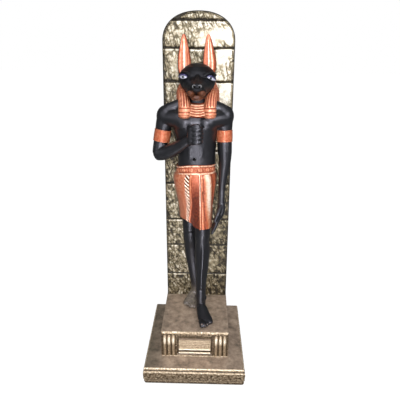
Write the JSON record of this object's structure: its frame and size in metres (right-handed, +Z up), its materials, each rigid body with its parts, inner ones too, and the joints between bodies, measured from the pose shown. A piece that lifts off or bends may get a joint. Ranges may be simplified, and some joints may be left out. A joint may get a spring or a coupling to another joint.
{
  "type": "jackal-headed figurine",
  "caption": "Standing jackal-headed figure in a wrapped kilt before a round-topped slab of stone courses, on a reeded pedestal and a moulded plinth.",
  "frame": {"origin": "middle of the plinth's underside", "axes": "+Z up, the figure faces -Y, +X towards the figure's own left"},
  "size_m": [0.175, 0.188, 0.6],
  "materials": {
    "antique_gilt_paint": "dull gold paint rubbed over a dark ground, worn pale on the edges",
    "black_gloss_paint": "gloss black paint",
    "copper_paint": "copper paint brushed over the raised dress, collar, bands and ears"
  },
  "bodies": {
    "root": {"plinth": "antique_gilt_paint", "pedestal": "antique_gilt_paint", "slab": "antique_gilt_paint", "figure": "black_gloss_paint"}
  },
  "joints": []
}
